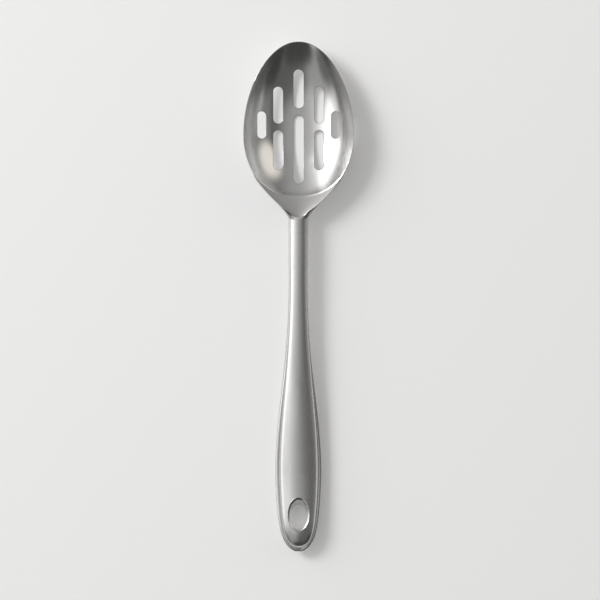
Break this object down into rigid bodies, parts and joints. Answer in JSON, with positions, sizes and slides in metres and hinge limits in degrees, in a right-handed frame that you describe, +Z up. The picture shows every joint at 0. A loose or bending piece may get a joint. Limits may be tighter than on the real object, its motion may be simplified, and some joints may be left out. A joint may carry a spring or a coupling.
{
  "type": "slotted serving spoon",
  "caption": "Long slotted serving spoon: deep oval bowl with round-ended draining slots, a slim neck flowing into a hollow swelling handle, and an oval lined hanging hole.",
  "frame": {"origin": "on the table under the middle of the spoon's length and width, as it lies on its bowl and handle", "axes": "+Y towards the tip of the bowl, +Z up out of the bowl, +X to the right"},
  "size_m": [0.0728, 0.335, 0.0195],
  "materials": {
    "bowl_steel": "finely polished stainless steel, soft reflections",
    "handle_steel": "satin stainless steel, fine grain along the handle",
    "sleeve_steel": "polished stainless steel lip"
  },
  "bodies": {
    "root": {"bowl": "bowl_steel", "handle_upper_shell": "handle_steel", "handle_lower_shell": "handle_steel", "hanging_hole_sleeve": "sleeve_steel"}
  },
  "joints": []
}
